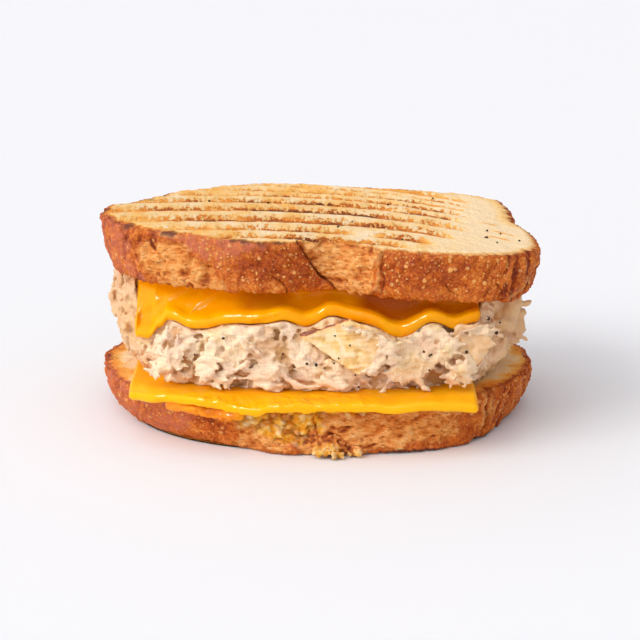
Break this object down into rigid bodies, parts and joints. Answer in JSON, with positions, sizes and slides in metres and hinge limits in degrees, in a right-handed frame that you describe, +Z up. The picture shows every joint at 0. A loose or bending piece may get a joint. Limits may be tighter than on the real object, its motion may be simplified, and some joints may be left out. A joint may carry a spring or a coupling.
{
  "type": "tuna melt sandwich",
  "caption": "Grilled tuna melt: two slices of split-crown loaf around melted cheese, flaked tuna salad and a cheese slice.",
  "frame": {"origin": "middle of the sandwich's bounding box, on the floor that the lower slice lies on", "axes": "+X along the slices' width, -Y towards the crown of the loaf, +Z up through the layers"},
  "size_m": [0.1264, 0.0942, 0.0608],
  "materials": {
    "bread": "toasted bread with a browned crust",
    "cheese": "melted orange cheese, glossy",
    "tuna": "flaked fish coated with mayonnaise",
    "chunk": "moist pale flesh with a browned edge"
  },
  "bodies": {
    "root": {"bread_upper": "bread", "bread_lower": "bread", "cheese_upper": "cheese", "cheese_lower": "cheese", "tuna": "tuna", "chunk_left": "chunk", "chunk_right": "chunk"}
  },
  "joints": []
}
